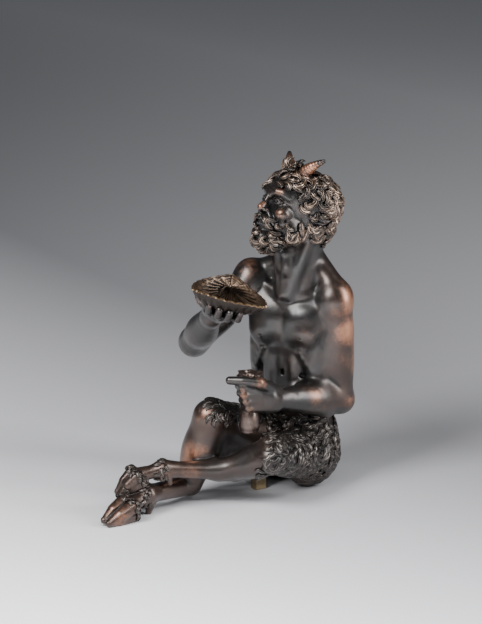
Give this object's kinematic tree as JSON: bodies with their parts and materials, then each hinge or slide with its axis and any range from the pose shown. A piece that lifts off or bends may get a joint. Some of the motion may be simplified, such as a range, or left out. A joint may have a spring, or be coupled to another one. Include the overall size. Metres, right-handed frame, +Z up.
{
  "type": "seated faun statuette",
  "caption": "Seated bronze faun with goat's legs, who lifts a shell dish in one hand and grips a flask in the other.",
  "frame": {"origin": "middle of the peg's underside, on the surface that the figure sits on", "axes": "+Z up, -Y towards the viewer of the main side, +X to that viewer's right"},
  "size_m": [0.2615, 0.2057, 0.3523],
  "materials": {
    "dark bronze": "satin",
    "golden bronze": "satin",
    "reddish bronze": "satin",
    "raw brass": "matte"
  },
  "bodies": {
    "root": {"faun_figure": "dark bronze", "scallop_shell": "golden bronze", "gripped_flask": "reddish bronze", "support_peg": "raw brass"}
  },
  "joints": []
}
